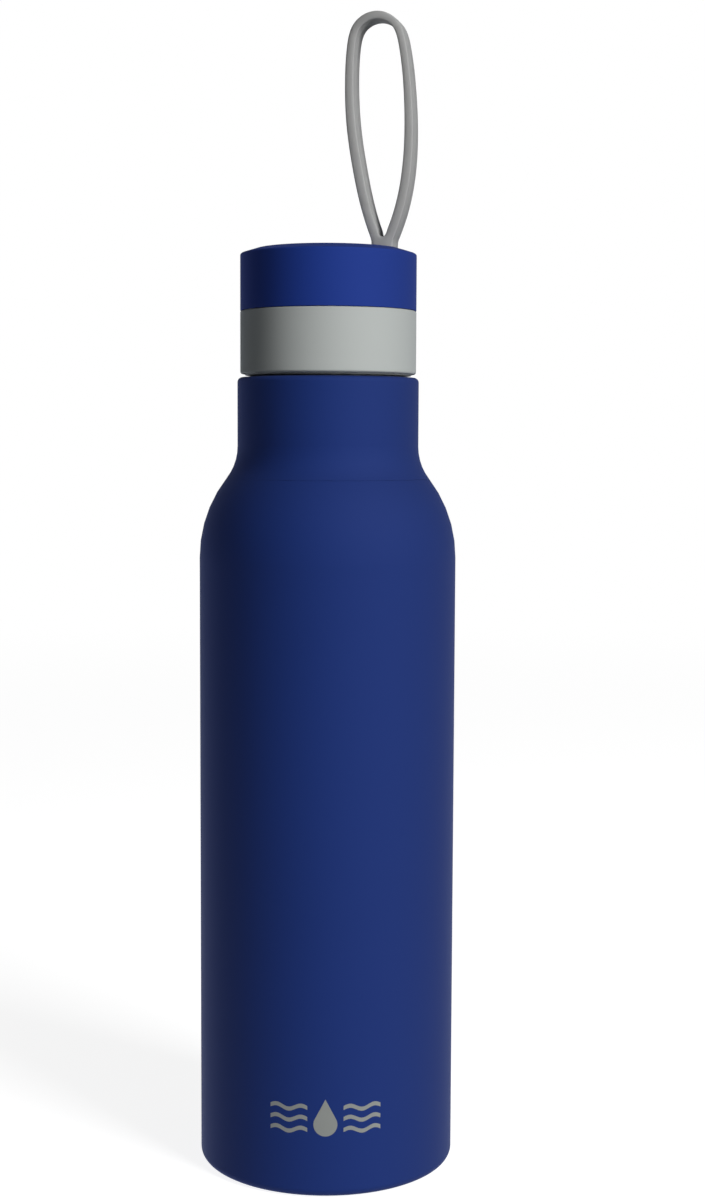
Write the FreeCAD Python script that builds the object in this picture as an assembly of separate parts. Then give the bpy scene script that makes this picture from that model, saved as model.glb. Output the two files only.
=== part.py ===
"""Vacuum-insulated steel water bottle with a screw lid and a silicone carrying loop.

Millimetres. +Z is up the bottle's axis and the origin is the centre of the standing ring.
-Y is the front. Every separate physical piece is written to its own STEP file in parts/.
"""
import FreeCAD, Part
import math
import os

V = FreeCAD.Vector
UP = V(0, 0, 1)
ORIGIN = V(0, 0, 0)

# ---- bottle: driving dimensions ------------------------------------------------------------
BODY_RADIUS = 36.5          # grips a standard 73 mm bottle cage
NECK_RADIUS = 25.7
NECK_TOP = 225.4            # top of the welded rim
SHOULDER_START = 174.5      # where the straight body ends
SHOULDER_ROUND = 36.6       # convex arc above the body
NECK_SWEEP = 14.7           # concave arc into the neck
BASE_ROUND = 2.5            # outer corner of the base
RIM_ROUND = 1.4             # outer corner of the rim
SHELL_WALL = 0.5
LINER_WALL = 0.4
LINER_INSET = 3.5           # outer surface of the shell to the wetted surface of the liner
RIM_SEAM_RADIUS = 24.0      # weld between shell and liner on top of the rim
STANDING_RING_INNER = 31.5  # weld between shell and base, on the standing ring

LINER_RADIUS = BODY_RADIUS - LINER_INSET
MOUTH_RADIUS = NECK_RADIUS - LINER_INSET
LINER_FLOOR = 8.0
LINER_FLOOR_ROUND = 9.0
LINER_SEAM = 20.0           # weld between the liner tube and its pressed bottom

# ---- bead under the mouth that the lid's seal seats on ---------------------------------------
THROAT_RADIUS = 19.5
LEDGE_Z = 212.3
THROAT_BOTTOM = 208.8
BEAD_FOOT = 207.2
BEAD_ROUND = 0.6

# ---- thread ----------------------------------------------------------------------------------
THREAD_PITCH = 5.0
RIDGE_ROOT_WIDTH = 2.2
RIDGE_CREST_WIDTH = 1.0
MOUTH_RIDGE_CREST = 21.1
MOUTH_RIDGE_START = 216.2
MOUTH_RIDGE_TURNS = 1.4
MOUTH_RIDGE_BITE = 0.15     # how far the ridge's root is sunk into its wall
PLUG_RADIUS = 20.5
PLUG_RIDGE_CREST = 21.8
PLUG_RIDGE_BELOW = 1.6      # the lid's ridge bears on the mouth's ridge from below
PLUG_RIDGE_TURNS = 1.2
PLUG_RIDGE_BITE = 0.3

# ---- lid: driving dimensions -----------------------------------------------------------------
LID_RADIUS = 24.9
BAND_BOTTOM = 226.3
BAND_TOP = 244.0
CAP_BOTTOM = 244.1
CAP_TOP = 261.3
CAP_BEVEL_WIDTH = 4.5       # shallow bevel round the top
CAP_BEVEL_DROP = 1.4
CAP_BEVEL_ROUND = 2.0
CAP_EDGE_ROUND = 0.6
CAP_INNER_RADIUS = 22.6
CAP_CEILING = 258.4

PLUG_BOTTOM = 214.7
PLUG_BORE = 18.25
FLANGE_UNDERSIDE = 225.9
FLANGE_RADIUS = 23.6
FLANGE_TOP = 226.8
CORE_RADIUS = 22.4
CORE_BORE = 20.4
CORE_FLOOR = 228.2
CORE_TOP = 250.0
SNAP_Z = 247.5              # snap bead that holds the cap shell on the plug's core
SNAP_HEIGHT = 0.4

PLUG_BASE_BOTTOM = 211.0
PLUG_BASE_LIP = 19.1
PLUG_BASE_BOSS = 18.2
PLUG_BASE_BOSS_TOP = 220.0
SEAL_BOTTOM = 212.6
SEAL_TOP = 214.6
SEAL_INNER = 18.3
SEAL_OUTER = 20.9

# ---- carrying loop, its pin and its pocket -----------------------------------------------------
LOOP_AZIMUTH = -15.2        # degrees: the loop's plane holds the bottle's axis
PIN_RADIAL = 16.3           # pin's distance from the bottle's axis
PIN_Z = 257.4
PIN_RADIUS = 1.2
PIN_HALF_LENGTH = 6.0
PIN_RUNNING_GAP = 0.05
BAND_WIDTH = 7.0            # silicone band, along the pin
EYE_RADIUS = 3.1
ROOT_SHOULDER_Z = 263.4     # where the two legs leave the sides of the root
ROOT_TOP = 265.0            # top of the solid root between the two legs
ROOT_TOP_HALF = 2.2
CROTCH_RADIUS = 1.0
CROTCH_Z = 265.4

POCKET_IN = 8.8             # pocket, from the pin towards the axis
POCKET_OUT = 5.3            # pocket, from the pin towards the rim
POCKET_HALF_WIDTH = 3.8
POCKET_CORNER = 1.2
WELL_BOTTOM = 252.6
WELL_WALL = 1.5
PIN_BOSS_HALF = 2.7
PIN_BOSS_END = 6.8
PIN_SLOT_END = 6.15
SCREW_RADIAL = -2.0         # screws, from the pin
SCREW_SIDE = 9.6
SCREW_BOSS_RADIUS = 2.3

# Centre line of the loop: radial distance from the pin (+ is outwards), height and thickness.
LOOP_LINE = [
    (-1.10, 262.0, 2.75),
    (-4.00, 270.0, 2.75),
    (-7.23, 283.5, 2.85),
    (-9.12, 296.0, 2.75),
    (-9.61, 307.5, 2.55),
    (-9.15, 316.5, 2.40),
    (-7.28, 322.3, 2.30),
    (-2.05, 324.75, 2.30),
    (3.15, 322.4, 2.20),
    (5.46, 316.5, 2.20),
    (6.84, 306.0, 2.30),
    (7.39, 294.0, 2.55),
    (6.83, 282.5, 2.70),
    (4.21, 270.0, 2.70),
    (1.10, 262.0, 2.70),
]

# ---- parts of the vacuum base, the getter, the foil and the pin's retainer ---------------------
DIMPLE_RADIUS = 8.0
DIMPLE_CEILING = 4.0
BASE_CEILING = 2.4
EVACUATION_HOLE = 1.2
GETTER_OFFSET = 17.0
WRAP_GAP = 0.1
WRAP_THICKNESS = 0.15
WRAP_SLIT_DEGREES = 2.0
RETAINER_TOP = WELL_BOTTOM - 0.05
RETAINER_THICKNESS = 1.5


# ---- construction helpers ---------------------------------------------------------------------
def at(radius, z):
    """A point of a profile, in the XZ plane."""
    return V(radius, 0, z)


def revolve(face, degrees=360):
    return face.revolve(ORIGIN, UP, degrees)


def lathe(points):
    """A solid turned from a closed polygon of (radius, z) corners."""
    corners = [at(*p) for p in points]
    return revolve(Part.Face(Part.makePolygon(corners + corners[:1])))


def sheet_edges(path, offset):
    """Edges of a profile path of (radius, z, corner radius), moved to its left by offset."""
    flat = [V(p[0], p[1], 0) for p in path]
    directions = [(b - a).normalize() for a, b in zip(flat, flat[1:])]
    lefts = [V(-d.y, d.x, 0) for d in directions]
    edges = []
    start = flat[0] + lefts[0] * offset
    for i in range(1, len(flat) - 1):
        before, after = directions[i - 1], directions[i]
        turn = math.atan2(before.cross(after).z, before.dot(after))
        side = math.copysign(1, turn)
        corner_radius = path[i][2]
        reach = corner_radius * math.tan(abs(turn) / 2)
        centre = flat[i] - before * reach + lefts[i - 1] * corner_radius * side
        swing = corner_radius - offset * side
        arc_start = centre - lefts[i - 1] * swing * side
        arc_end = centre - lefts[i] * swing * side
        middle_left = (lefts[i - 1] + lefts[i]).normalize()
        arc_middle = centre - middle_left * swing * side
        if (arc_start - start).Length > 1e-4:
            edges.append(Part.LineSegment(at(start.x, start.y), at(arc_start.x, arc_start.y)))
        edges.append(Part.Arc(*[at(p.x, p.y) for p in (arc_start, arc_middle, arc_end)]))
        start = arc_end
    end = flat[-1] + lefts[-1] * offset
    edges.append(Part.LineSegment(at(start.x, start.y), at(end.x, end.y)))
    return [e.toShape() for e in edges]


def sheet_solid(path, wall):
    """A turned sheet-metal piece: the path is one surface and the wall lies on its left."""
    near, far = sheet_edges(path, 0), sheet_edges(path, wall)
    first = Part.makeLine(near[0].Vertexes[0].Point, far[0].Vertexes[0].Point)
    last = Part.makeLine(near[-1].Vertexes[-1].Point, far[-1].Vertexes[-1].Point)
    wire = Part.Wire(Part.__sortEdges__(near + [last] + far + [first]))
    return revolve(Part.Face(wire))


def helical_ridge(root, crest, start_z, turns):
    """A right-handed thread ridge as a solid, from a root radius to a crest radius."""
    helix = Part.makeHelix(THREAD_PITCH, THREAD_PITCH * turns, root)
    corners = [
        at(root, -RIDGE_ROOT_WIDTH / 2),
        at(crest, -RIDGE_CREST_WIDTH / 2),
        at(crest, RIDGE_CREST_WIDTH / 2),
        at(root, RIDGE_ROOT_WIDTH / 2),
    ]
    profile = Part.makePolygon(corners + corners[:1])
    ridge = Part.Wire(helix).makePipeShell([profile], True, True)
    ridge.translate(V(0, 0, start_z))
    return ridge


def box_between(low, high):
    size = V(*high) - V(*low)
    return Part.makeBox(size.x, size.y, size.z, V(*low))


def to_loop_frame(shape):
    """Moves a shape made with X outwards and Y along the pin, origin on the pin's foot."""
    shape.translate(V(PIN_RADIAL, 0, 0))
    shape.rotate(ORIGIN, UP, LOOP_AZIMUTH)
    return shape


def pin_cylinder(radius, half_length):
    return Part.makeCylinder(radius, 2 * half_length, V(0, -half_length, PIN_Z), V(0, 1, 0))


def one_solid(shape):
    """The single solid of a boolean's result, with its seams removed."""
    clean = shape.removeSplitter()
    return clean.Solids[0] if len(clean.Solids) == 1 else clean


# ---- the vessel ---------------------------------------------------------------------------------
def shoulder_corners(body_radius, neck_radius, round_radius, sweep_radius):
    """The two corner points of the S-shaped shoulder, whose arcs are tangent to each other."""
    turn = math.acos(1 - (body_radius - neck_radius) / (round_radius + sweep_radius))
    height = (round_radius + sweep_radius) * math.sin(turn)
    lower = SHOULDER_START + round_radius * math.tan(turn / 2)
    upper = SHOULDER_START + height - sweep_radius * math.tan(turn / 2)
    return [(body_radius, lower, round_radius), (neck_radius, upper, sweep_radius)]


def outer_shell():
    """Painted outer shell, from the weld on the standing ring up to the weld on the rim."""
    path = [
        (STANDING_RING_INNER, 0, 0),
        (BODY_RADIUS, 0, BASE_ROUND),
        *shoulder_corners(BODY_RADIUS, NECK_RADIUS, SHOULDER_ROUND, NECK_SWEEP),
        (NECK_RADIUS, NECK_TOP, RIM_ROUND),
        (RIM_SEAM_RADIUS, NECK_TOP, 0),
    ]
    return sheet_solid(path, SHELL_WALL)


def inner_liner():
    """Drawn liner tube with the sealing bead and the rolled thread in its mouth."""
    path = [
        (RIM_SEAM_RADIUS, NECK_TOP, 0),
        (MOUTH_RADIUS, NECK_TOP, 0.8),
        (MOUTH_RADIUS, LEDGE_Z, BEAD_ROUND),
        (THROAT_RADIUS, LEDGE_Z, BEAD_ROUND),
        (THROAT_RADIUS, THROAT_BOTTOM, BEAD_ROUND),
        (MOUTH_RADIUS, BEAD_FOOT, 1.0),
        *reversed(
            shoulder_corners(
                LINER_RADIUS,
                MOUTH_RADIUS,
                SHOULDER_ROUND - LINER_INSET,
                NECK_SWEEP + LINER_INSET,
            )
        ),
        (LINER_RADIUS, LINER_SEAM, 0),
    ]
    ridge = helical_ridge(
        MOUTH_RADIUS + MOUTH_RIDGE_BITE, MOUTH_RIDGE_CREST, MOUTH_RIDGE_START, MOUTH_RIDGE_TURNS
    )
    return one_solid(sheet_solid(path, LINER_WALL).fuse(ridge))


def liner_base():
    """Pressed bottom of the liner, welded to its tube."""
    path = [
        (LINER_RADIUS, LINER_SEAM, 0),
        (LINER_RADIUS, LINER_FLOOR, LINER_FLOOR_ROUND),
        (0, LINER_FLOOR, 0),
    ]
    return sheet_solid(path, LINER_WALL)


def shell_base():
    """Pressed outer base, raised off the ground, with a dimple round the evacuation hole."""
    path = [
        (EVACUATION_HOLE, DIMPLE_CEILING, 0),
        (DIMPLE_RADIUS - 1.0, DIMPLE_CEILING, 1.0),
        (DIMPLE_RADIUS, BASE_CEILING, 1.0),
        (28.6, BASE_CEILING, 1.2),
        (30.0, 0, 1.0),
        (STANDING_RING_INNER, 0, 0),
    ]
    return sheet_solid(path, SHELL_WALL)


def vacuum_seal():
    """Bead of solder glass that closes the evacuation hole."""
    return lathe([
        (0, 2.9),
        (1.8, 3.05),
        (2.8, 3.5),
        (3.1, DIMPLE_CEILING - 0.02),
        (EVACUATION_HOLE - 0.02, DIMPLE_CEILING - 0.02),
        (EVACUATION_HOLE - 0.02, 4.7),
        (0, 4.8),
    ])


def base_cover():
    """Spun steel disc glued into the base's recess, over the dimple."""
    return lathe([(0, 1.4), (26.6, 1.4), (27.2, 1.9), (27.2, 2.35), (0, 2.35)])


def getter_holder():
    """Small dish spot-welded under the liner's bottom."""
    dish = lathe([(2.2, 5.2), (4.6, 5.2), (4.6, 7.55), (4.3, 7.55), (4.3, 5.5), (2.2, 5.5)])
    dish.translate(V(GETTER_OFFSET, 0, 0))
    return dish


def getter_pellet():
    """Pressed getter powder that keeps the vacuum."""
    return Part.makeCylinder(4.2, 1.6, V(GETTER_OFFSET, 0, 5.55))


def radiation_wrap():
    """Copper foil round the liner, open at its taped seam."""
    inner = LINER_RADIUS + LINER_WALL + WRAP_GAP
    outer = inner + WRAP_THICKNESS
    low, high = LINER_SEAM + 3, SHOULDER_START - 3
    corners = [at(inner, low), at(outer, low), at(outer, high), at(inner, high)]
    wrap = revolve(Part.Face(Part.makePolygon(corners + corners[:1])), 360 - WRAP_SLIT_DEGREES)
    wrap.rotate(ORIGIN, UP, 90 + WRAP_SLIT_DEGREES / 2)
    return wrap


# ---- the lid -------------------------------------------------------------------------------------
def screw_plug():
    """Threaded plug, flange and the core that carries the band and the cap shell."""
    body = lathe([
        (PLUG_RADIUS, PLUG_BOTTOM),
        (PLUG_RADIUS, FLANGE_UNDERSIDE),
        (FLANGE_RADIUS, FLANGE_UNDERSIDE),
        (FLANGE_RADIUS, FLANGE_TOP),
        (CORE_RADIUS, FLANGE_TOP),
        (CORE_RADIUS, SNAP_Z - 0.9),
        (CORE_RADIUS + SNAP_HEIGHT, SNAP_Z - 0.3),
        (CORE_RADIUS + SNAP_HEIGHT, SNAP_Z + 0.3),
        (CORE_RADIUS, SNAP_Z + 0.9),
        (CORE_RADIUS, CORE_TOP),
        (CORE_BORE, CORE_TOP),
        (CORE_BORE, CORE_FLOOR),
        (PLUG_BORE, CORE_FLOOR),
        (PLUG_BORE, PLUG_BOTTOM),
    ])
    ridge = helical_ridge(
        PLUG_RADIUS - PLUG_RIDGE_BITE,
        PLUG_RIDGE_CREST,
        MOUTH_RIDGE_START - PLUG_RIDGE_BELOW + 1.5,
        PLUG_RIDGE_TURNS,
    )
    ridge.rotate(ORIGIN, UP, 360 * 1.5 / THREAD_PITCH)
    return one_solid(body.fuse(ridge))


def plug_base():
    """Disc welded into the plug's lower end, whose lip holds the seal."""
    return lathe([
        (0, PLUG_BASE_BOTTOM),
        (PLUG_BASE_LIP - 0.4, PLUG_BASE_BOTTOM),
        (PLUG_BASE_LIP, PLUG_BASE_BOTTOM + 0.4),
        (PLUG_BASE_LIP, SEAL_BOTTOM - 0.05),
        (PLUG_BASE_BOSS, SEAL_BOTTOM - 0.05),
        (PLUG_BASE_BOSS, PLUG_BASE_BOSS_TOP),
        (PLUG_BASE_BOSS - 1.8, PLUG_BASE_BOSS_TOP),
        (PLUG_BASE_BOSS - 1.8, PLUG_BASE_BOTTOM + 1.8),
        (0, PLUG_BASE_BOTTOM + 1.8),
    ])


def seal_ring():
    """Silicone ring between the plug and its base, which seats on the liner's bead."""
    bevel = 0.5
    return lathe([
        (SEAL_INNER, SEAL_BOTTOM),
        (SEAL_OUTER - bevel, SEAL_BOTTOM),
        (SEAL_OUTER, SEAL_BOTTOM + bevel),
        (SEAL_OUTER, SEAL_TOP - bevel),
        (SEAL_OUTER - bevel, SEAL_TOP),
        (SEAL_INNER, SEAL_TOP),
    ])


def plug_foam():
    """Moulded foam insulation that fills the plug and its core."""
    lower, upper = PLUG_BASE_BOSS - 2.1, CORE_BORE - 0.3
    return lathe([
        (0, PLUG_BASE_BOTTOM + 2.0),
        (lower, PLUG_BASE_BOTTOM + 2.0),
        (lower, CORE_FLOOR + 0.2),
        (upper, CORE_FLOOR + 0.2),
        (upper, CORE_TOP - 2.0),
        (0, CORE_TOP - 2.0),
    ])


def trim_band():
    """Grey band that slides over the core and rests on the flange."""
    step = FLANGE_RADIUS + 0.15
    corner, bevel = 0.7, 0.3
    return lathe([
        (CAP_INNER_RADIUS, FLANGE_TOP + 0.1),
        (step, FLANGE_TOP + 0.1),
        (step, BAND_BOTTOM),
        (LID_RADIUS - corner, BAND_BOTTOM),
        (LID_RADIUS - 0.2, BAND_BOTTOM + 0.2),
        (LID_RADIUS, BAND_BOTTOM + corner),
        (LID_RADIUS, BAND_TOP - bevel),
        (LID_RADIUS - bevel, BAND_TOP),
        (CAP_INNER_RADIUS, BAND_TOP),
    ])


def cap_solid():
    """Cap shell before its strap pocket, with a bevelled top and a snap groove inside."""
    groove = CAP_INNER_RADIUS + SNAP_HEIGHT
    outside = sheet_edges([
        (LID_RADIUS, CAP_BOTTOM, 0),
        (LID_RADIUS, CAP_TOP - CAP_BEVEL_DROP, CAP_EDGE_ROUND),
        (LID_RADIUS - CAP_BEVEL_WIDTH, CAP_TOP, CAP_BEVEL_ROUND),
        (0, CAP_TOP, 0),
    ], 0)
    inside = Part.makePolygon([
        at(0, CAP_TOP),
        at(0, CAP_CEILING),
        at(CAP_INNER_RADIUS, CAP_CEILING),
        at(CAP_INNER_RADIUS, SNAP_Z + 1.1),
        at(groove, SNAP_Z + 0.5),
        at(groove, SNAP_Z - 0.5),
        at(CAP_INNER_RADIUS, SNAP_Z - 1.1),
        at(CAP_INNER_RADIUS, CAP_BOTTOM),
        at(LID_RADIUS, CAP_BOTTOM),
    ])
    return revolve(Part.Face(Part.Wire(Part.__sortEdges__(outside + inside.Edges))))


def rounded_block(low, high, corner):
    """A block whose four upright edges are rounded."""
    block = box_between(low, high)
    upright = [
        e for e in block.Edges if abs(e.Vertexes[0].Z - e.Vertexes[1].Z) > 1e-6
    ]
    return block.makeFillet(corner, upright)


def pin_slot(side):
    """U-shaped slot, open at the bottom of the well, that holds one end of the pin."""
    start = side * (POCKET_HALF_WIDTH - 0.1)
    end = side * PIN_SLOT_END
    low_y, high_y = min(start, end), max(start, end)
    radius = PIN_RADIUS + PIN_RUNNING_GAP
    channel = box_between((-radius, low_y, WELL_BOTTOM - 1), (radius, high_y, PIN_Z))
    crown = Part.makeCylinder(radius, high_y - low_y, V(0, low_y, PIN_Z), V(0, 1, 0))
    return channel.fuse(crown)


def cap_shell():
    """Blue cap shell with the strap's pocket, the pin's slots and two screw bosses."""
    joint_z = CAP_CEILING + 0.1
    well_half = POCKET_HALF_WIDTH + WELL_WALL
    additions = [
        rounded_block(
            (-POCKET_IN - WELL_WALL, -well_half, WELL_BOTTOM),
            (POCKET_OUT + WELL_WALL - 0.3, well_half, joint_z),
            POCKET_CORNER,
        ),
        box_between(
            (-PIN_BOSS_HALF, -PIN_BOSS_END, WELL_BOTTOM), (PIN_BOSS_HALF, PIN_BOSS_END, joint_z)
        ),
    ]
    removals = [
        rounded_block(
            (-POCKET_IN, -POCKET_HALF_WIDTH, WELL_BOTTOM - 1),
            (POCKET_OUT, POCKET_HALF_WIDTH, CAP_TOP + 1),
            POCKET_CORNER,
        )
    ]
    for side in (-1, 1):
        boss_foot = V(SCREW_RADIAL, side * SCREW_SIDE, WELL_BOTTOM)
        additions.append(
            Part.makeCylinder(SCREW_BOSS_RADIUS, joint_z - WELL_BOTTOM, boss_foot)
        )
        removals.append(Part.makeCylinder(0.8, 5.0, boss_foot))
        removals.append(pin_slot(side))
    shape = cap_solid()
    for piece in additions:
        shape = shape.fuse(to_loop_frame(piece))
    for piece in removals:
        shape = shape.cut(to_loop_frame(piece))
    return one_solid(shape)


def pin_retainer():
    """Plate under the pocket: its floor, with two posts that trap the pin in its slots."""
    low = RETAINER_TOP - RETAINER_THICKNESS
    plate = rounded_block((-9.9, -5.0, low), (5.0, 5.0, RETAINER_TOP), 1.5)
    wings = rounded_block((-5.0, -12.2, low), (1.0, 12.2, RETAINER_TOP), 1.5)
    shape = plate.fuse(wings)
    for side in (-1, 1):
        post_y = sorted((side * (POCKET_HALF_WIDTH + 0.2), side * (PIN_SLOT_END - 0.2)))
        post = box_between(
            (-PIN_RADIUS, post_y[0], low), (PIN_RADIUS, post_y[1], PIN_Z - PIN_RADIUS - 0.05)
        )
        hole = Part.makeCylinder(1.1, 3.0, V(SCREW_RADIAL, side * SCREW_SIDE, low - 1))
        shape = shape.fuse(post).cut(hole)
    return one_solid(to_loop_frame(shape))


def retainer_screws():
    """Two pan-head screws that hold the retainer to the cap shell's bosses."""
    head_top = RETAINER_TOP - RETAINER_THICKNESS - 0.02
    head_height, recess = 1.2, 0.6
    screws = []
    for side in (-1, 1):
        centre = (SCREW_RADIAL, side * SCREW_SIDE)
        head = Part.makeCylinder(1.9, head_height, V(*centre, head_top - head_height))
        rim = [e for e in head.Edges if e.Curve.TypeId == "Part::GeomCircle" and
               abs(e.Vertexes[0].Z - (head_top - head_height)) < 1e-6]
        head = head.makeFillet(0.4, rim)
        shank = Part.makeCylinder(0.78, 5.8, V(*centre, head_top - 0.1))
        screw = head.fuse(shank)
        for length, width in ((2.2, 0.5), (0.5, 2.2)):
            low = (centre[0] - length / 2, centre[1] - width / 2, head_top - head_height - 1)
            high = (centre[0] + length / 2, centre[1] + width / 2,
                    head_top - head_height + recess)
            screw = screw.cut(box_between(low, high))
        screws.append(one_solid(to_loop_frame(screw)))
    return Part.makeCompound(screws)


# ---- the carrying loop ------------------------------------------------------------------------------
def band_outline(spline, side, samples=60):
    """A spline beside the loop's centre line, half the band's thickness away from it."""
    stations = [spline.parameter(V(x, -BAND_WIDTH / 2, z)) for x, z, _ in LOOP_LINE]
    stations[0], stations[-1] = spline.FirstParameter, spline.LastParameter
    points = []
    for i in range(samples + 1):
        u = stations[0] + (stations[-1] - stations[0]) * i / samples
        k = max(j for j in range(len(stations) - 1) if stations[j] <= u + 1e-9)
        share = (u - stations[k]) / (stations[k + 1] - stations[k])
        thickness = LOOP_LINE[k][2] * (1 - share) + LOOP_LINE[k + 1][2] * share
        point, tangent = spline.value(u), spline.tangent(u)[0]
        points.append(point + V(-tangent.z, 0, tangent.x) * (side * thickness / 2))
    outline = Part.BSplineCurve()
    outline.interpolate(points)
    return outline.toShape()


def strap():
    """Moulded silicone loop: a flat band whose two legs join in a root with an eye."""
    half_width = BAND_WIDTH / 2
    line = Part.BSplineCurve()
    line.interpolate([V(x, -half_width, z) for x, z, _ in LOOP_LINE])
    outer = band_outline(line, 1)
    inner = band_outline(line, -1)
    ends = [
        Part.makeLine(outer.Vertexes[i].Point, inner.Vertexes[i].Point) for i in (0, -1)
    ]
    face = Part.Face(Part.Wire(Part.__sortEdges__([outer, inner] + ends)))
    along_pin = V(0, BAND_WIDTH, 0)
    legs = face.extrude(along_pin)
    root_corners = [
        V(-EYE_RADIUS, -half_width, PIN_Z),
        V(EYE_RADIUS, -half_width, PIN_Z),
        V(EYE_RADIUS, -half_width, ROOT_SHOULDER_Z),
        V(ROOT_TOP_HALF, -half_width, ROOT_TOP),
        V(-ROOT_TOP_HALF, -half_width, ROOT_TOP),
        V(-EYE_RADIUS, -half_width, ROOT_SHOULDER_Z),
    ]
    root = Part.Face(Part.makePolygon(root_corners + root_corners[:1])).extrude(along_pin)
    eye = pin_cylinder(EYE_RADIUS, half_width)
    crotch = Part.makeCylinder(
        CROTCH_RADIUS, BAND_WIDTH, V(0, -half_width, CROTCH_Z), V(0, 1, 0)
    )
    bore = pin_cylinder(PIN_RADIUS + PIN_RUNNING_GAP, BAND_WIDTH)
    shape = root.fuse(eye).cut(crotch).fuse(legs).cut(bore)
    return one_solid(to_loop_frame(shape))


def strap_pin():
    """Steel cross pin through the loop's eye."""
    return to_loop_frame(pin_cylinder(PIN_RADIUS, PIN_HALF_LENGTH))


PIECES = [
    outer_shell,
    inner_liner,
    liner_base,
    shell_base,
    vacuum_seal,
    base_cover,
    getter_holder,
    getter_pellet,
    radiation_wrap,
    screw_plug,
    plug_base,
    seal_ring,
    plug_foam,
    trim_band,
    cap_shell,
    pin_retainer,
    retainer_screws,
    strap_pin,
    strap,
]


def main():
    os.makedirs("parts", exist_ok=True)
    for piece in PIECES:
        shape = piece()
        valid = shape.isValid() and all(s.isClosed() for s in shape.Solids)
        print(f"{piece.__name__}: {len(shape.Solids)} solid(s), {shape.Volume:.1f} mm3, valid {valid}")
        shape.exportStep(f"parts/{piece.__name__}.step")


main()
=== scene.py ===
"""Looks of the steel water bottle: turned meshes, procedural finishes, studio light and camera."""
import math

import bmesh
import bpy
import numpy as np
from mathutils import Matrix, Vector
from mathutils.geometry import tessellate_polygon


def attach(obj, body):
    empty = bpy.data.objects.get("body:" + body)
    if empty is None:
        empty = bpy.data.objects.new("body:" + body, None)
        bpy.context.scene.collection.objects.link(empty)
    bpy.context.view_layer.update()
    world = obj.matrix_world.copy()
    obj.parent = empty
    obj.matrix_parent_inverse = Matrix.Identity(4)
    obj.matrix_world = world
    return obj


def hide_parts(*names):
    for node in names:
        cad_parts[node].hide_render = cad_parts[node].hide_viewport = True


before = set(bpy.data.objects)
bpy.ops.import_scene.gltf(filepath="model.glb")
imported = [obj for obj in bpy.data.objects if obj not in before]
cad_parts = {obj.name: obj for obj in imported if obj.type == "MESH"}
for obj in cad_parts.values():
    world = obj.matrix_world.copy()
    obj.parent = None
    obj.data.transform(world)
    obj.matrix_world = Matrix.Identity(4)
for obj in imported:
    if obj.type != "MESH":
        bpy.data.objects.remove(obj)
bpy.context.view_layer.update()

MM = 0.001
SEGMENTS = 288              # round a turned piece
SUPPORT = 0.07              # mm, straight run kept beside every rounding
ARC_STEP = math.radians(9)  # steps of a rounding in a turned profile
EDGE_STEPS = 6              # steps of a quarter round on the pocket's and the loop's edges
SHEET_END_ROUND = 0.06      # mm, rounding of a sheet's cut edges
STRAIGHT = math.radians(179)    # corners more open than this get no rounding

# ---- sizes in mm: the pieces are the same as the CAD's -------------------------------------------
BODY_RADIUS = 36.5
NECK_RADIUS = 25.7
NECK_TOP = 225.4
SHOULDER_START = 174.5
SHOULDER_ROUND = 36.6
NECK_SWEEP = 14.7
BASE_ROUND = 2.5
RIM_ROUND = 1.4
SHELL_WALL = 0.5
LINER_WALL = 0.4
LINER_INSET = 3.5           # outer surface of the shell to the wetted surface of the liner
LINER_RADIUS = BODY_RADIUS - LINER_INSET
LINER_SEAM = 20.0           # weld between the liner tube and its pressed bottom
MOUTH_RADIUS = NECK_RADIUS - LINER_INSET
MOUTH_ROUND = 0.8
THROAT_RADIUS = 19.5        # sealing bead that the seal ring rests on
LEDGE_Z = 212.3
THROAT_BOTTOM = 208.8
BEAD_FOOT = 207.2
BEAD_ROUND = 0.6
RIM_SEAM_RADIUS = 24.0      # weld between shell and liner on top of the rim
STANDING_RING_INNER = 31.5  # weld between shell and base, on the standing ring
EVACUATION_HOLE = 1.2
DIMPLE_CEILING = 4.0        # recess in the base, with a dimple in its middle
BASE_CEILING = 2.4
COVER_RADIUS = 27.2
COVER_BOTTOM = 1.4
COVER_TOP = 2.35

THREAD_PITCH = 5.0
RIDGE_ROOT_WIDTH = 2.2
RIDGE_CREST_WIDTH = 1.0
RIDGE_RUN_OUT = math.radians(14)
THREAD_STEP = 0.22          # height between the rings of a threaded wall
MOUTH_THREAD_SPAN = (214, 224.5)
MOUTH_RIDGE_START = 216.2
MOUTH_RIDGE_TURNS = 1.4
MOUTH_RIDGE_HEIGHT = 1.1
PLUG_THREAD_SPAN = (215, 225.5)
PLUG_RIDGE_START = MOUTH_RIDGE_START - 0.1
PLUG_RIDGE_ANGLE = math.radians(108)
PLUG_RIDGE_TURNS = 1.2
PLUG_RIDGE_HEIGHT = 1.3

PLUG_RADIUS = 20.5
PLUG_BORE = 18.25
PLUG_BOTTOM = 214.7
FLANGE_UNDERSIDE = 225.9
FLANGE_RADIUS = 23.6
FLANGE_TOP = 226.8
CORE_RADIUS = 22.4
CORE_BORE = 20.4
CORE_FLOOR = 228.2
CORE_TOP = 250.0
SNAP_CREST = 22.8           # bead on the core that holds the cap shell
SNAP_GROOVE = 23.0
PLUG_BASE_BOTTOM = 211.0
PLUG_BASE_LIP = 19.1
PLUG_BASE_LIP_TOP = 212.55
PLUG_BASE_FLOOR = 212.8
PLUG_BASE_BOSS = 18.2
PLUG_BASE_BORE = 16.4
PLUG_BASE_BOSS_TOP = 220.0
SEAL_BOTTOM = 212.6
SEAL_TOP = 214.6
SEAL_INNER = 18.3
SEAL_OUTER = 20.9
SEAL_ROUND = 0.35

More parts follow.
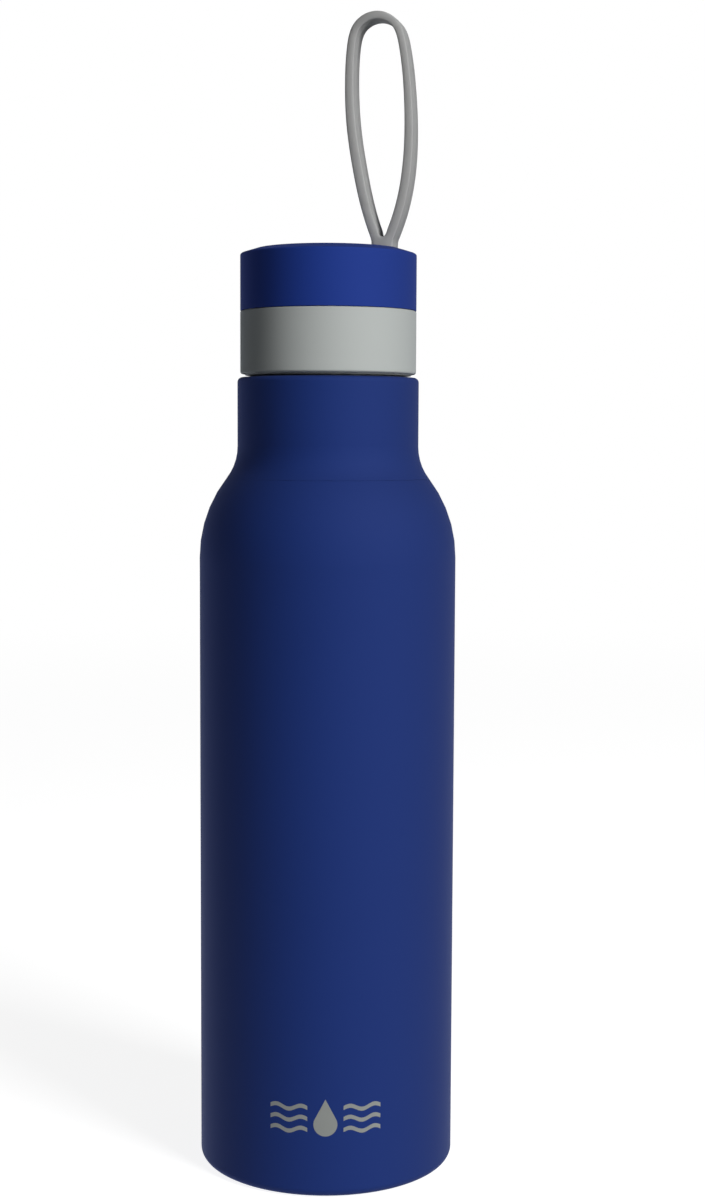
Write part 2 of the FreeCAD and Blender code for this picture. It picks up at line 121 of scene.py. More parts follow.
LID_RADIUS = 24.9
BAND_BOTTOM = 226.3
BAND_TOP = 244.0
CAP_BOTTOM = 244.1
CAP_TOP = 261.3
CAP_BEVEL_WIDTH = 4.5
CAP_BEVEL_DROP = 1.4
CAP_BEVEL_ROUND = 2.0
CAP_EDGE_ROUND = 0.6
CAP_INNER_RADIUS = 22.6
CAP_CEILING = 258.4
CAP_RAYS = 512              # vertices of each of the cap's rings
CAP_RAY_ASPECT = 1.35       # spreads the rays so that the far rim is as fine as the near one
CAP_RING_MARGIN = 0.06      # between the bevel's rings where they pass the pocket
BAND_GROOVE_RADIUS = 23.75  # the band's seat on the plug's flange
BAND_SEAT = 226.9
BAND_CHAMFER = 0.28

LOOP_AZIMUTH = math.radians(-15.2)
PIN_RADIAL = 16.3           # pin's distance from the bottle's axis
PIN_Z = 257.4
EYE_RADIUS = 3.1
EYE_POINTS = 49
EYE_BORE = 1.25
BORE_POINTS = 48
ROOT_SIDES = (258.5, 260.0, 261.5, 262.4, 262.7)    # heights along the root's straight sides
LEG_OUTSIDE_Z = 264.4       # where the legs' outer edges leave the root
LEG_INSIDE_Z = 266.4        # where the legs' inner edges leave the crotch
LOOP_WIDTH = 7.0            # along the pin
LOOP_EDGE_ROUND = 0.35
LOOP_POINTS = 220           # along the loop's centre line
PARTING_LINE = 0.05         # height of the mould's parting line
PARTING_FOOT = 0.22         # half width of the parting line at its foot
PARTING_SHOULDER = 0.12
CROTCH_RADIUS = 1.0
CROTCH_Z = 265.4
CROTCH_SPAN = (math.radians(215), math.radians(325))
CROTCH_POINTS = 15
ROOT_BLEND_POINTS = 8
CROTCH_BLEND_POINTS = 5
POCKET_IN = 8.8
POCKET_OUT = 5.3
POCKET_HALF_WIDTH = 3.8
POCKET_CORNER = 1.2
POCKET_RIM_ROUND = 0.35
WELL_BOTTOM = 252.6
WELL_WALL = 1.5
WELL_ROUND = 0.2

# Centre line of the loop: distance outwards from the pin, height and thickness.
LOOP_LINE = [
    (-1.10, 262.0, 2.75),
    (-4.00, 270.0, 2.75),
    (-7.23, 283.5, 2.85),
    (-9.12, 296.0, 2.75),
    (-9.61, 307.5, 2.55),
    (-9.15, 316.5, 2.40),
    (-7.28, 322.3, 2.30),
    (-2.05, 324.75, 2.30),
    (3.15, 322.4, 2.20),
    (5.46, 316.5, 2.20),
    (6.84, 306.0, 2.30),
    (7.39, 294.0, 2.55),
    (6.83, 282.5, 2.70),
    (4.21, 270.0, 2.70),
    (1.10, 262.0, 2.70),
]

# The printed mark: a drop between two groups of waves.
DROP_BOTTOM = 17.6
DROP_HEIGHT = 10.4
DROP_RADIUS = 3.3
DROP_STEPS = 40
WAVE_ROWS = 3
WAVE_OFFSET = 10.3          # middle of a group, from the drop
WAVE_BOTTOM = 19.3
WAVE_PITCH = 3.1
WAVE_WIDTH = 10.6
WAVE_HEIGHT = 0.55
WAVE_THICKNESS = 1.15
WAVE_COUNT = 1.5            # waves in a ribbon
WAVE_STEPS = 28
MARK_TURN = math.radians(-90.3)
MARK_SUNK = 0.06            # how deep the mark's back lies under the shell's surface
MARK_PROUD = 0.02           # how far its face stands out
MARK_HALF_WIDTH = 16
MARK_STEP = 0.6             # width of the strips that follow the shell's curve


# ---- profiles ------------------------------------------------------------------------------------
def rounded(corners, closed=True):
    """Points of a profile of (radius, z, rounding) corners, with a run beside each rounding."""
    points = []
    count = len(corners)
    for i, (r, z, rounding) in enumerate(corners):
        here = Vector((r, z))
        if not closed and i in (0, count - 1):
            points.append(here)
            continue
        before = Vector(corners[i - 1][:2]) - here
        after = Vector(corners[(i + 1) % count][:2]) - here
        angle = before.angle(after)
        if rounding <= 0 or angle > STRAIGHT:
            points.append(here)
            continue
        turn = math.pi - angle
        reach = rounding * math.tan(turn / 2)
        start, end = here + before.normalized() * reach, here + after.normalized() * reach
        middle = (before.normalized() + after.normalized()).normalized()
        centre = here + middle * rounding / math.cos(turn / 2)
        if before.length > reach + 3 * SUPPORT:
            points.append(start + before.normalized() * SUPPORT)
        steps = max(3, math.ceil(turn / ARC_STEP))
        for k in range(steps + 1):
            spoke = start - centre
            side = math.copysign(1, spoke.cross(end - centre))
            swing = turn * side * k / steps
            spoke = Vector((
                spoke.x * math.cos(swing) - spoke.y * math.sin(swing),
                spoke.x * math.sin(swing) + spoke.y * math.cos(swing),
            ))
            points.append(centre + spoke)
        if after.length > reach + 3 * SUPPORT:
            points.append(end + after.normalized() * SUPPORT)
    return [(p.x, p.y) for p in points]


def sheet(path, wall):
    """Closed corners of a sheet whose wall lies on the left of a path of corners."""
    points = [Vector(p[:2]) for p in path]
    directions = [(b - a).normalized() for a, b in zip(points, points[1:])]
    lefts = [Vector((-d.y, d.x)) for d in directions]
    far = [(*(points[0] + lefts[0] * wall), SHEET_END_ROUND)]
    for i in range(1, len(path) - 1):
        a, b = lefts[i - 1], lefts[i]
        side = math.copysign(1, directions[i - 1].cross(directions[i]))
        moved = points[i] + (a + b) * wall / (1 + a.dot(b))
        far.append((*moved, path[i][2] - wall * side))
    far.append((*(points[-1] + lefts[-1] * wall), SHEET_END_ROUND))
    first, last = ((*end[:2], SHEET_END_ROUND) for end in (path[0], path[-1]))
    return [first, *path[1:-1], last] + far[::-1]


def shoulder(body_radius, neck_radius, round_radius, sweep_radius):
    """The two corners of a shoulder whose convex and concave arcs meet tangentially."""
    turn = math.acos(1 - (body_radius - neck_radius) / (round_radius + sweep_radius))
    height = (round_radius + sweep_radius) * math.sin(turn)
    lower = SHOULDER_START + round_radius * math.tan(turn / 2)
    upper = SHOULDER_START + height - sweep_radius * math.tan(turn / 2)
    return [(body_radius, lower, round_radius), (neck_radius, upper, sweep_radius)]


def divided(points, span, step):
    """The profile with extra points on the straight walls that cross a span of heights."""
    low, high = span
    result = []
    for a, b in zip(points, points[1:] + points[:1]):
        result.append(a)
        zs = sorted((a[1], b[1]))
        if abs(a[0] - b[0]) < 1e-6 and zs[0] < high and zs[1] > low and zs[1] - zs[0] > step:
            pieces = math.ceil((zs[1] - zs[0]) / step)
            result += [(a[0], a[1] + (b[1] - a[1]) * k / pieces) for k in range(1, pieces)]
    return result


def quarter_round(radius):
    """(inset, drop) pairs along a quarter round, from one face to the other."""
    angles = [math.radians(90 / EDGE_STEPS * k) for k in range(EDGE_STEPS + 1)]
    return [(radius * (1 - math.sin(a)), radius * (1 - math.cos(a))) for a in angles]


# ---- meshes --------------------------------------------------------------------------------------
def new_piece(name, verts, faces, material, body, nodes=(), smooth=True):
    """A mesh piece from points in mm, riding on a body and standing for CAD nodes."""
    mesh = bpy.data.meshes.new(name)
    mesh.from_pydata([Vector(v) * MM for v in verts], [], faces)
    bm = bmesh.new()
    bm.from_mesh(mesh)
    bmesh.ops.recalc_face_normals(bm, faces=bm.faces)
    for face in bm.faces:
        face.smooth = smooth
    bm.to_mesh(mesh)
    bm.free()
    mesh.materials.append(material)
    piece = bpy.data.objects.new(name, mesh)
    bpy.context.scene.collection.objects.link(piece)
    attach(piece, body)
    if nodes:
        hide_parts(*nodes)


def lathe(points, closed=True, shift=None):
    """Vertices and faces of a turned profile; shift(angle, radius, z) moves a point's radius."""
    verts, rings, faces = [], [], []
    for r, z in points:
        if r < 1e-6:
            rings.append([len(verts)] * SEGMENTS)
            verts.append((0, 0, z))
            continue
        ring = []
        for k in range(SEGMENTS):
            angle = math.tau * k / SEGMENTS
            radius = r + (shift(angle, r, z) if shift else 0)
            ring.append(len(verts))
            verts.append((radius * math.cos(angle), radius * math.sin(angle), z))
        rings.append(ring)
    for lower, upper in zip(rings, rings[1:] + rings[:1] if closed else rings[1:]):
        for k in range(SEGMENTS):
            j = (k + 1) % SEGMENTS
            face = list(dict.fromkeys([lower[k], lower[j], upper[j], upper[k]]))
            if len(face) > 2:
                faces.append(face)
    return verts, faces


def quads(ring_count, size, first=0, closed=False):
    """Faces between successive rings of vertices, where the first ring starts at index first."""
    faces = []
    for a in range(ring_count if closed else ring_count - 1):
        low = first + a * size
        high = first + (a + 1) % ring_count * size
        for k in range(size):
            j = (k + 1) % size
            faces.append([low + k, low + j, high + j, high + k])
    return faces


def smoothstep(x):
    x = min(1.0, max(0.0, x))
    return x * x * (3 - 2 * x)


def thread(start_z, start_angle, turns, height, base_radius):
    """Radius change of a right-handed thread ridge on a wall of base_radius."""
    flank = (RIDGE_ROOT_WIDTH - RIDGE_CREST_WIDTH) / 2

    def shift(angle, radius, z):
        if abs(radius - base_radius) > 1e-3:
            return 0.0
        best = 0.0
        first = (angle - start_angle) % math.tau
        for lap in range(math.ceil(turns) + 1):
            along = first + lap * math.tau
            if along > turns * math.tau:
                break
            offset = abs(z - start_z - THREAD_PITCH * along / math.tau)
            shape = smoothstep((RIDGE_ROOT_WIDTH / 2 - offset) / flank)
            ends = min(along, turns * math.tau - along) / RIDGE_RUN_OUT
            best = max(best, shape * smoothstep(ends))
        return best * height

    return shift


# ---- procedural finishes -------------------------------------------------------------------------
PATCH_DETAIL = 3            # noise octaves of the mottled tones
FINE_DETAIL = 2             # noise octaves of the grain and of the uneven roughness
ROUGH_PATCH = 0.4           # size of the rough patches, as a share of the tones' patches


def finish(name, colour_a, colour_b, patch_mm, roughness, grain_mm, grain_um,
           rough_spread=0.05, metallic=0.0, lathe_lines=False, sockets=()):
    """A Principled material with two mottled tones, uneven roughness and a fine surface grain."""
    material = bpy.data.materials.new(name)
    material.use_nodes = True
    tree = material.node_tree
    shader = tree.nodes["Principled BSDF"]
    shader.inputs["Metallic"].default_value = metallic
    for socket, value in dict(sockets).items():
        shader.inputs[socket].default_value = value
    place = tree.nodes.new("ShaderNodeTexCoord").outputs["Object"]
    grain_place = place
    if lathe_lines:
        split = tree.nodes.new("ShaderNodeSeparateXYZ")
        tree.links.new(place, split.inputs[0])
        flat = tree.nodes.new("ShaderNodeCombineXYZ")
        tree.links.new(split.outputs["X"], flat.inputs["X"])
        tree.links.new(split.outputs["Y"], flat.inputs["Y"])
        length = tree.nodes.new("ShaderNodeVectorMath")
        length.operation = "LENGTH"
        tree.links.new(flat.outputs[0], length.inputs[0])
        rings = tree.nodes.new("ShaderNodeCombineXYZ")
        tree.links.new(length.outputs["Value"], rings.inputs["X"])
        tree.links.new(split.outputs["Z"], rings.inputs["Y"])
        grain_place = rings.outputs[0]

    def noise(source, size_mm, detail):
        node = tree.nodes.new("ShaderNodeTexNoise")
        node.inputs["Scale"].default_value = 1000.0 / size_mm
        node.inputs["Detail"].default_value = detail
        tree.links.new(source, node.inputs["Vector"])
        return node.outputs["Fac"]

    tones = tree.nodes.new("ShaderNodeMix")
    tones.data_type = "RGBA"
    tones.inputs["A"].default_value = (*colour_a, 1)
    tones.inputs["B"].default_value = (*colour_b, 1)
    tree.links.new(noise(place, patch_mm, PATCH_DETAIL), tones.inputs["Factor"])
    tree.links.new(tones.outputs["Result"], shader.inputs["Base Color"])

    spread = tree.nodes.new("ShaderNodeMapRange")
    spread.inputs["To Min"].default_value = roughness - rough_spread
    spread.inputs["To Max"].default_value = roughness + rough_spread
    grain = noise(grain_place, grain_mm, FINE_DETAIL)
    unevenness = noise(place, patch_mm * ROUGH_PATCH, FINE_DETAIL)
    tree.links.new(unevenness, spread.inputs["Value"])
    tree.links.new(spread.outputs["Result"], shader.inputs["Roughness"])

    bump = tree.nodes.new("ShaderNodeBump")
    bump.inputs["Strength"].default_value = 1.0
    bump.inputs["Distance"].default_value = grain_um * 1e-6
    tree.links.new(grain, bump.inputs["Height"])
    tree.links.new(bump.outputs["Normal"], shader.inputs["Normal"])
    return material


# A matte coat whose tint darkens the colour where the surface turns away from the viewer.
MATTE_COAT = {
    "Specular IOR Level": 0.0,
    "Coat Weight": 1.0,
    "Coat Roughness": 0.80,
    "Coat IOR": 1.34,
    "Coat Tint": (0.30, 0.30, 0.30, 1),
}
BAND_COAT = {
    **MATTE_COAT,
    "Specular IOR Level": 1.0,
    "Coat IOR": 1.35,
    "Coat Tint": (0.52, 0.52, 0.52, 1),
    "Sheen Weight": 0.1,
    "Sheen Roughness": 0.8,
    "Sheen Tint": (0.9, 0.95, 1.0, 1),
}
SILICONE_COAT = {
    **MATTE_COAT,
    "Coat Tint": (0.50, 0.50, 0.50, 1),
    "Subsurface Weight": 0.8,
    "Subsurface Scale": 0.0035,
    "Subsurface Radius": (1.0, 1.0, 1.0),
}
PAINT = finish("powder_paint", (0.0165, 0.0850, 0.540), (0.0195, 0.0940, 0.595),
               60, 0.66, 0.42, 9, sockets=MATTE_COAT)
CAP_PLASTIC = finish("cap_plastic", (0.0205, 0.1090, 0.810), (0.0235, 0.1190, 0.870),
                     40, 0.64, 0.30, 8, sockets=MATTE_COAT)
BAND_PLASTIC = finish("band_plastic", (0.870, 0.920, 0.885), (0.920, 0.970, 0.935),
                      30, 0.85, 0.30, 8, sockets=BAND_COAT)
SILICONE = finish("loop_silicone", (0.840, 0.840, 0.825), (0.910, 0.910, 0.895),
                  12, 0.85, 0.22, 10, sockets=SILICONE_COAT)
SEAL_SILICONE = finish("seal_silicone", (0.62, 0.62, 0.60), (0.68, 0.68, 0.66),
                       10, 0.45, 0.30, 6, sockets={"Subsurface Weight": 0.15})
PLUG_PLASTIC = finish("plug_plastic", (0.33, 0.345, 0.345), (0.36, 0.375, 0.375),
                      20, 0.42, 0.30, 6)
STEEL = finish("turned_steel", (0.60, 0.59, 0.57), (0.66, 0.65, 0.63),
               25, 0.30, 0.09, 2.5, rough_spread=0.06, metallic=1.0, lathe_lines=True)
FOIL = finish("wrap_foil", (0.78, 0.78, 0.78), (0.86, 0.86, 0.86),
              15, 0.22, 2.5, 60, metallic=1.0)
POWDER = finish("getter_powder", (0.09, 0.09, 0.09), (0.14, 0.14, 0.13),
                2, 0.85, 0.12, 40)
GLASS_BEAD = finish("solder_glass", (0.30, 0.28, 0.24), (0.38, 0.36, 0.31),
                    3, 0.12, 0.8, 15, sockets={"Coat Weight": 0.3})
FOAM = finish("moulded_foam", (0.78, 0.77, 0.73), (0.86, 0.85, 0.81),
              5, 0.90, 1.6, 180)
PIN_STEEL = finish("pin_steel", (0.52, 0.52, 0.52), (0.60, 0.60, 0.60),
                   6, 0.26, 0.10, 2, metallic=1.0)
PRINT = finish("printed_mark", (0.245, 0.256, 0.240), (0.275, 0.286, 0.268),
               6, 0.60, 0.15, 5)


# ---- the vessel ----------------------------------------------------------------------------------
def build_vessel():
    shell_path = [
        (STANDING_RING_INNER, 0, 0),
        (BODY_RADIUS, 0, BASE_ROUND),
        *shoulder(BODY_RADIUS, NECK_RADIUS, SHOULDER_ROUND, NECK_SWEEP),
        (NECK_RADIUS, NECK_TOP, RIM_ROUND),
        (RIM_SEAM_RADIUS, NECK_TOP, 0),
    ]
    verts, faces = lathe(rounded(sheet(shell_path, SHELL_WALL)))
    new_piece("painted_shell", verts, faces, PAINT, "bottle", ["outer_shell"])

    liner_path = [
        (RIM_SEAM_RADIUS, NECK_TOP, 0),
        (MOUTH_RADIUS, NECK_TOP, MOUTH_ROUND),
        (MOUTH_RADIUS, LEDGE_Z, BEAD_ROUND),
        (THROAT_RADIUS, LEDGE_Z, BEAD_ROUND),
        (THROAT_RADIUS, THROAT_BOTTOM, BEAD_ROUND),
        (MOUTH_RADIUS, BEAD_FOOT, 1.0),
        *reversed(shoulder(LINER_RADIUS, MOUTH_RADIUS, SHOULDER_ROUND - LINER_INSET,
                           NECK_SWEEP + LINER_INSET)),
        (LINER_RADIUS, LINER_SEAM, 0),
    ]
    profile = divided(rounded(sheet(liner_path, LINER_WALL)), MOUTH_THREAD_SPAN, THREAD_STEP)
    ridge = thread(MOUTH_RIDGE_START, 0.0, MOUTH_RIDGE_TURNS, -MOUTH_RIDGE_HEIGHT, MOUTH_RADIUS)
    verts, faces = lathe(profile, shift=ridge)
    new_piece("steel_liner", verts, faces, STEEL, "bottle", ["inner_liner"])

    base_path = [
        (EVACUATION_HOLE, DIMPLE_CEILING, 0),
        (7.0, DIMPLE_CEILING, 1.0),
        (8.0, BASE_CEILING, 1.0),
        (28.6, BASE_CEILING, 1.2),
        (30.0, 0, 1.0),
        (STANDING_RING_INNER, 0, 0),
    ]
    verts, faces = lathe(rounded(sheet(base_path, SHELL_WALL)))
    new_piece("steel_base", verts, faces, STEEL, "bottle", ["shell_base"])

    cover = [
        (0, COVER_BOTTOM, 0),
        (26.7, COVER_BOTTOM, 0.35),
        (COVER_RADIUS, 1.9, 0.2),
        (COVER_RADIUS, COVER_TOP, 0.1),
        (0, COVER_TOP, 0),
    ]
    verts, faces = lathe(rounded(cover, closed=False), closed=False)
    new_piece("base_disc", verts, faces, STEEL, "bottle", ["base_cover"])


# ---- the lid -------------------------------------------------------------------------------------
def build_lid():
    plug = [
        (PLUG_RADIUS, PLUG_BOTTOM, 0.3),
        (PLUG_RADIUS, FLANGE_UNDERSIDE, 0.3),
        (FLANGE_RADIUS, FLANGE_UNDERSIDE, 0.3),
        (FLANGE_RADIUS, FLANGE_TOP, 0.1),
        (CORE_RADIUS, FLANGE_TOP, 0.1),
        (CORE_RADIUS, 246.6, 0.1),
        (SNAP_CREST, 247.2, 0.1),
        (SNAP_CREST, 247.8, 0.1),
        (CORE_RADIUS, 248.4, 0.1),
        (CORE_RADIUS, CORE_TOP, 0.2),
        (CORE_BORE, CORE_TOP, 0.2),
        (CORE_BORE, CORE_FLOOR, 0.2),
        (PLUG_BORE, CORE_FLOOR, 0.2),
        (PLUG_BORE, PLUG_BOTTOM, 0.2),
    ]
    profile = divided(rounded(plug), PLUG_THREAD_SPAN, THREAD_STEP)
    ridge = thread(PLUG_RIDGE_START, PLUG_RIDGE_ANGLE, PLUG_RIDGE_TURNS, PLUG_RIDGE_HEIGHT,
                   PLUG_RADIUS)
    verts, faces = lathe(profile, shift=ridge)
    new_piece("threaded_plug", verts, faces, PLUG_PLASTIC, "lid", ["screw_plug"])

    foot = [
        (0, PLUG_BASE_BOTTOM, 0),
        (PLUG_BASE_LIP, PLUG_BASE_BOTTOM, 0.5),
        (PLUG_BASE_LIP, PLUG_BASE_LIP_TOP, 0.15),
        (PLUG_BASE_BOSS, PLUG_BASE_LIP_TOP, 0.1),
        (PLUG_BASE_BOSS, PLUG_BASE_BOSS_TOP, 0.2),
        (PLUG_BASE_BORE, PLUG_BASE_BOSS_TOP, 0.2),
        (PLUG_BASE_BORE, PLUG_BASE_FLOOR, 0.3),
        (0, PLUG_BASE_FLOOR, 0),
    ]
    verts, faces = lathe(rounded(foot, closed=False), closed=False)
    new_piece("plug_foot", verts, faces, PLUG_PLASTIC, "lid", ["plug_base"])

    ring = [
        (SEAL_INNER, SEAL_BOTTOM, 0.1),
        (20.4, SEAL_BOTTOM, SEAL_ROUND),
        (SEAL_OUTER, 213.1, SEAL_ROUND),
        (SEAL_OUTER, 214.1, SEAL_ROUND),
        (20.4, SEAL_TOP, SEAL_ROUND),
        (SEAL_INNER, SEAL_TOP, 0.1),
    ]
    verts, faces = lathe(rounded(ring))
    new_piece("silicone_seal", verts, faces, SEAL_SILICONE, "seal", ["seal_ring"])

    band = [
        (CAP_INNER_RADIUS, BAND_SEAT, 0.1),
        (BAND_GROOVE_RADIUS, BAND_SEAT, 0.1),
        (BAND_GROOVE_RADIUS, BAND_BOTTOM, 0.15),
        (LID_RADIUS, BAND_BOTTOM, 0.7),
        (LID_RADIUS, BAND_TOP - BAND_CHAMFER, 0.12),
        (LID_RADIUS - BAND_CHAMFER, BAND_TOP, 0.12),
        (CAP_INNER_RADIUS, BAND_TOP, 0.1),
    ]
    verts, faces = lathe(rounded(band))
    new_piece("grey_band", verts, faces, BAND_PLASTIC, "lid", ["trim_band"])


def loop_frame(u, t, z):
    """A point from the loop's frame: u outwards from the pin, t along it."""
    radial = PIN_RADIAL + u
    c, s = math.cos(LOOP_AZIMUTH), math.sin(LOOP_AZIMUTH)
    return (radial * c - t * s, radial * s + t * c, z)


def pocket_reach(direction, grow):
    """Distance from the pocket's centre to its outline, widened by grow, along a unit vector."""
    half_u = (POCKET_IN + POCKET_OUT) / 2 + grow
    half_t = POCKET_HALF_WIDTH + grow
    corner = POCKET_CORNER + grow
    du, dt = abs(direction[0]), abs(direction[1])
    reach = min(half_u / max(du, 1e-9), half_t / max(dt, 1e-9))
    u, t = du * reach, dt * reach
    cu, ct = half_u - corner, half_t - corner
    if u > cu and t > ct:
        along = du * cu + dt * ct
        reach = along + math.sqrt(max(0.0, along ** 2 - (cu ** 2 + ct ** 2 - corner ** 2)))
    return reach


def build_cap():
    """The cap shell with its pocket, as rings that all share the same rays from the pocket."""
    centre_u = (POCKET_OUT - POCKET_IN) / 2
    centre_radial = PIN_RADIAL + centre_u
    directions = []
    for k in range(CAP_RAYS):
        angle = math.tau * k / CAP_RAYS
        vector = Vector((math.cos(angle), CAP_RAY_ASPECT * math.sin(angle))).normalized()
        directions.append((vector.x, vector.y))

    edge = rounded([
        (LID_RADIUS, CAP_BOTTOM, 0),
        (LID_RADIUS, CAP_TOP - CAP_BEVEL_DROP, CAP_EDGE_ROUND),
        (LID_RADIUS - CAP_BEVEL_WIDTH, CAP_TOP, CAP_BEVEL_ROUND),
        (0, CAP_TOP, 0),
    ], closed=False)
    # The first and last corners only give the directions of the runs beside their neighbours.
    inside = rounded([
        (CAP_INNER_RADIUS - 2, CAP_CEILING, 0),
        (CAP_INNER_RADIUS, CAP_CEILING, 0.4),
        (CAP_INNER_RADIUS, 248.6, 0.1),
        (SNAP_GROOVE, 248.0, 0.1),
        (SNAP_GROOVE, 247.0, 0.1),
        (CAP_INNER_RADIUS, 246.4, 0.1),
        (CAP_INNER_RADIUS, CAP_BOTTOM, 0.15),
        (LID_RADIUS, CAP_BOTTOM, 0.12),
        (LID_RADIUS, CAP_TOP, 0),
    ], closed=False)[1:-1]

    def top_height(point):
        return float(np.interp(math.hypot(*point[:2]),
                               [r for r, z in edge[:0:-1]], [z for r, z in edge[:0:-1]]))

    def circle(radius, z, margin=None):
        """A ring round the axis, which on the top face keeps a margin from the pocket's rim."""
        ring = []
        for d in directions:
            b = centre_radial * d[0]
            reach = -b + math.sqrt(b * b + radius ** 2 - centre_radial ** 2)
            least = pocket_reach(d, POCKET_RIM_ROUND + margin) if margin else 0
            height = z
            if reach < least:
                reach = least
                point = loop_frame(centre_u + d[0] * reach, d[1] * reach, z)
                height = top_height(point)
            ring.append(loop_frame(centre_u + d[0] * reach, d[1] * reach, height))
        return ring

    def pocket(grow, z=None, drop=0.0):
        """A ring along the pocket's outline, at a height or at a drop below the top face."""
        ring = []
        for d in directions:
            reach = pocket_reach(d, grow)
            point = loop_frame(centre_u + d[0] * reach, d[1] * reach, z)
            ring.append(point if z else (*point[:2], top_height(point) - drop))
        return ring

    rings = [circle(r, z) for r, z in inside]
    bevel = [(r, z) for r, z in edge[1:] if r > 1]
    for i, (r, z) in enumerate(bevel):
        rings.append(circle(r, z, CAP_RING_MARGIN * (len(bevel) - i)))
    rings += [pocket(inset, drop=drop) for inset, drop in quarter_round(POCKET_RIM_ROUND)]
    rings += [
        pocket(0, drop=POCKET_RIM_ROUND + SUPPORT),
        pocket(0, WELL_BOTTOM + WELL_ROUND),
        pocket(0.1, WELL_BOTTOM),
        pocket(WELL_WALL - 0.1, WELL_BOTTOM),
        pocket(WELL_WALL, WELL_BOTTOM + WELL_ROUND),
        pocket(WELL_WALL, CAP_CEILING - WELL_ROUND),
        pocket(WELL_WALL + WELL_ROUND, CAP_CEILING),
    ]
    verts = [v for ring in rings for v in ring]
    faces = quads(len(rings), CAP_RAYS, closed=True)
    new_piece("blue_cap", verts, faces, CAP_PLASTIC, "lid", ["cap_shell"])


# ---- the carrying loop ---------------------------------------------------------------------------
def spline_through(points, count):
    """Points, unit tangents and thicknesses of a natural cubic spline, evenly spaced by chord."""
    thickness = [p[2] for p in points]
    data = np.array([p[:2] for p in points], float)
    knots = np.concatenate([[0], np.cumsum(np.linalg.norm(np.diff(data, axis=0), axis=1))])
    n = len(data)
    gaps = np.diff(knots)
    matrix, right = np.eye(n), np.zeros((n, 2))
    for i in range(1, n - 1):
        matrix[i, i - 1:i + 2] = gaps[i - 1], 2 * (gaps[i - 1] + gaps[i]), gaps[i]
        right[i] = 6 * (
            (data[i + 1] - data[i]) / gaps[i] - (data[i] - data[i - 1]) / gaps[i - 1]
        )
    curve = np.linalg.solve(matrix, right)
    result = []
    for s in np.linspace(0, knots[-1], count):
        i = min(np.searchsorted(knots, s, side="right") - 1, n - 2)
        h = gaps[i]
        a, b = (knots[i + 1] - s) / h, (s - knots[i]) / h
        point = (a * data[i] + b * data[i + 1]
                 + ((a ** 3 - a) * curve[i] + (b ** 3 - b) * curve[i + 1]) * h * h / 6)
        tangent = ((data[i + 1] - data[i]) / h
                   + (-(3 * a * a - 1) * curve[i] + (3 * b * b - 1) * curve[i + 1]) * h / 6)
        result.append((point, tangent / np.linalg.norm(tangent), np.interp(s, knots, thickness)))
    return result


def bezier(p0, p1, p2, p3, count):
    """Inner points of a cubic Bezier, without its ends."""
    out = []
    for k in range(1, count):
        s = k / count
        out.append((1 - s) ** 3 * p0 + 3 * s * (1 - s) ** 2 * p1
                   + 3 * s * s * (1 - s) * p2 + s ** 3 * p3)
    return out


def arc(radius, centre_z, angles):
    """Points of an arc whose centre lies on the pin's radius."""
    return [np.array((radius * math.cos(a), centre_z + radius * math.sin(a))) for a in angles]


def blend(a, before_a, b, after_b, count):
    """Inner points of a curve from a to b that carries on the runs before a and after b."""
    da = (a - before_a) / np.linalg.norm(a - before_a)
    db = (after_b - b) / np.linalg.norm(after_b - b)
    reach = np.linalg.norm(b - a) / 3
    return bezier(a, a + da * reach, b - db * reach, b, count)


def loop_outlines():
    """Outer outline, finger opening and pin bore of the loop, counter-clockwise in (u, z)."""
    line = spline_through(LOOP_LINE, LOOP_POINTS)
    offsets = [(p, np.array((-t[1], t[0])) * thickness / 2) for p, t, thickness in line]
    outer = [p + offset for p, offset in offsets][::-1]
    inner = [p - offset for p, offset in offsets][::-1]
    outer = [p for p in outer if p[1] > LEG_OUTSIDE_Z]
    inner = [p for p in inner if p[1] > LEG_INSIDE_Z]
    eye = arc(EYE_RADIUS, PIN_Z, np.linspace(math.pi, math.tau, EYE_POINTS))
    right_side = [np.array((EYE_RADIUS, z)) for z in ROOT_SIDES]
    left_side = [np.array((-EYE_RADIUS, z)) for z in ROOT_SIDES]
    contour = (
        eye + right_side
        + blend(right_side[-1], right_side[-2], outer[0], outer[1], ROOT_BLEND_POINTS)
        + outer
        + blend(outer[-1], outer[-2], left_side[-1], left_side[-2], ROOT_BLEND_POINTS)
        + left_side[::-1]
    )
    crotch = arc(CROTCH_RADIUS, CROTCH_Z, np.linspace(*CROTCH_SPAN, CROTCH_POINTS))
    opening = (
        crotch
        + blend(crotch[-1], crotch[-2], inner[0], inner[1], CROTCH_BLEND_POINTS)
        + inner
        + blend(inner[-1], inner[-2], crotch[0], crotch[1], CROTCH_BLEND_POINTS)
    )
    bore = arc(EYE_BORE, PIN_Z, np.linspace(0, math.tau, BORE_POINTS, endpoint=False))
    return contour, opening, bore


def moved_inwards(outline, distance, hole):
    """A closed outline moved into the material by a distance."""
    pts = np.array(outline)
    tangents = np.roll(pts, -1, axis=0) - np.roll(pts, 1, axis=0)
    tangents /= np.linalg.norm(tangents, axis=1)[:, None]
    normals = np.stack([-tangents[:, 1], tangents[:, 0]], axis=1)
    return pts + normals * distance * (-1 if hole else 1)


